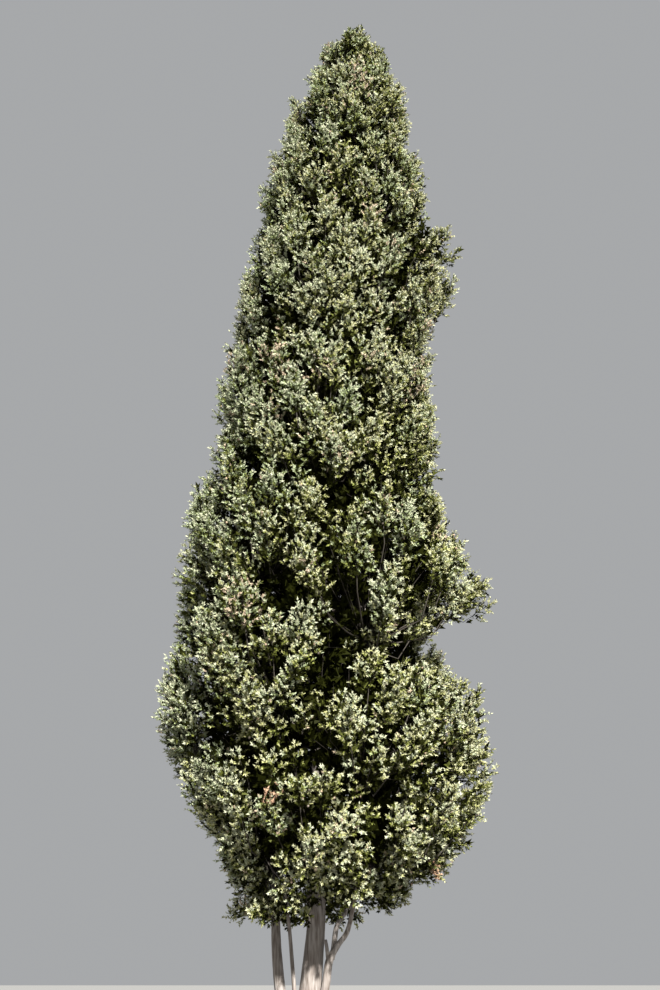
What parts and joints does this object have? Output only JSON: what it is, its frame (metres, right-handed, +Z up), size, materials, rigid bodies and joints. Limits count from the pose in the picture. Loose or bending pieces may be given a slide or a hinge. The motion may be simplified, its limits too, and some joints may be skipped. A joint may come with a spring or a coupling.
{
  "type": "italian cypress tree",
  "caption": "Tall, broad Italian cypress: a leaning trunk with slimmer side stems from one flared foot, under a dense conical evergreen crown of upswept sprays.",
  "frame": {"origin": "the middle of the flat cut under the trunk, at ground level", "axes": "+Z up the tree, +X to the right of the view from the front, -Y towards the front"},
  "size_m": [5.0399, 4.7378, 18],
  "materials": {
    "bark": "rough, stringy bark",
    "foliage": "matt scale leaves"
  },
  "bodies": {
    "root": {"trunk": "bark", "stem_left": "bark", "stem_thin": "bark", "stem_right": "bark", "limb_right": "bark", "stub_right": "bark", "skirt_1": "foliage", "skirt_2": "foliage", "skirt_3": "foliage", "skirt_4": "foliage", "skirt_5": "foliage", "skirt_6": "foliage", "low_1": "foliage", "low_2": "foliage", "low_3": "foliage", "low_4": "foliage", "low_5": "foliage", "low_6": "foliage", "belly_1": "foliage", "belly_2": "foliage", "belly_3": "foliage", "belly_4": "foliage", "belly_5": "foliage", "middle_1": "foliage", "middle_2": "foliage", "middle_3": "foliage", "middle_4": "foliage", "middle_5": "foliage", "upper_1": "foliage", "upper_2": "foliage", "upper_3": "foliage", "upper_4": "foliage", "shoulder_1": "foliage", "shoulder_2": "foliage", "shoulder_3": "foliage", "shoulder_4": "foliage", "head_1": "foliage", "head_2": "foliage", "head_3": "foliage", "tip": "foliage"}
  },
  "joints": []
}
